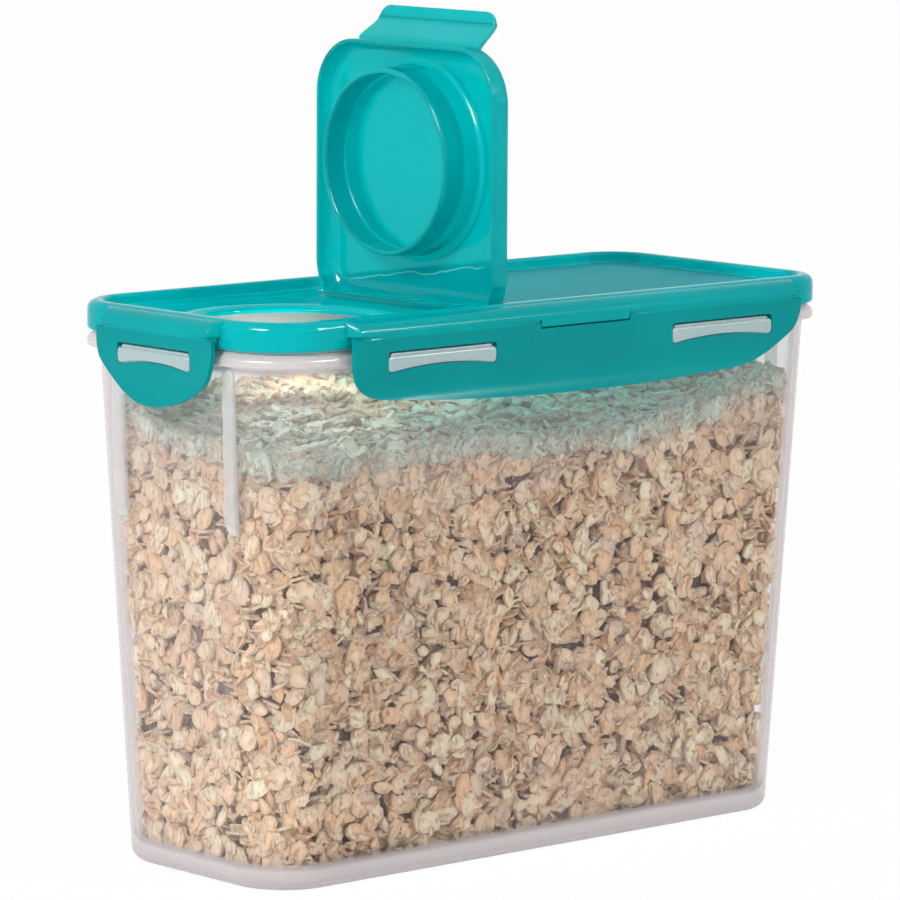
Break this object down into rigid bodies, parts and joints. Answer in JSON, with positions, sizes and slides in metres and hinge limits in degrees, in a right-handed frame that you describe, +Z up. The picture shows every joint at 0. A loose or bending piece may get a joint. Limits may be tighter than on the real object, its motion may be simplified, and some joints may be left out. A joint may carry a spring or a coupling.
{
  "type": "cereal keeper with flip spout",
  "caption": "Tall tapered translucent food keeper with slotted snap locks on every side, a sealed lid and a hinged cap that plugs a round pour hole.",
  "frame": {"origin": "middle of the base, at table level", "axes": "+X along the long side, away from the pour hole; +Y to the left side as seen from the pour end; +Z up"},
  "size_m": [0.2674, 0.123, 0.285],
  "materials": {
    "frosted_bin": "satin, slightly milky",
    "frosted_lug": "satin",
    "seal": "soft matt",
    "teal_lid": "glossy, matt on the deck",
    "teal_web": "glossy",
    "teal_lock": "glossy",
    "teal_cap": "glossy",
    "teal_plug": "glossy"
  },
  "bodies": {
    "keeper": {"container": "frosted_bin", "lock_lugs": "frosted_lug", "gasket": "seal", "lid": "teal_lid", "front_hinge": "teal_web", "rear_hinge": "teal_web", "right_hinge": "teal_web", "left_hinge": "teal_web", "cap_hinge": "teal_web"},
    "front_lock": {"front_lock": "teal_lock"},
    "rear_lock": {"rear_lock": "teal_lock"},
    "right_lock": {"right_lock": "teal_lock"},
    "left_lock": {"left_lock": "teal_lock"},
    "cap": {"pour_cap": "teal_cap", "pour_plug": "teal_plug", "thumb_tab": "teal_cap"}
  },
  "joints": [
    {"name": "cap_hinge", "type": "hinge", "parent": "keeper", "child": "cap", "pos_m": [-0.0247, 0, 0.1844], "axis": [0, -1, 0], "range_deg": [0, 90]},
    {"name": "front_lock_hinge", "type": "hinge", "parent": "keeper", "child": "front_lock", "pos_m": [-0.13205, 0, 0.1838], "axis": [0, 1, 0], "range_deg": [0, 110]},
    {"name": "rear_lock_hinge", "type": "hinge", "parent": "keeper", "child": "rear_lock", "pos_m": [0.13205, 0, 0.1838], "axis": [0, -1, 0], "range_deg": [0, 110]},
    {"name": "right_lock_hinge", "type": "hinge", "parent": "keeper", "child": "right_lock", "pos_m": [0.0054, -0.0598, 0.1838], "axis": [-1, 0, 0], "range_deg": [0, 110]},
    {"name": "left_lock_hinge", "type": "hinge", "parent": "keeper", "child": "left_lock", "pos_m": [0.0054, 0.0598, 0.1838], "axis": [1, 0, 0], "range_deg": [0, 110]}
  ]
}
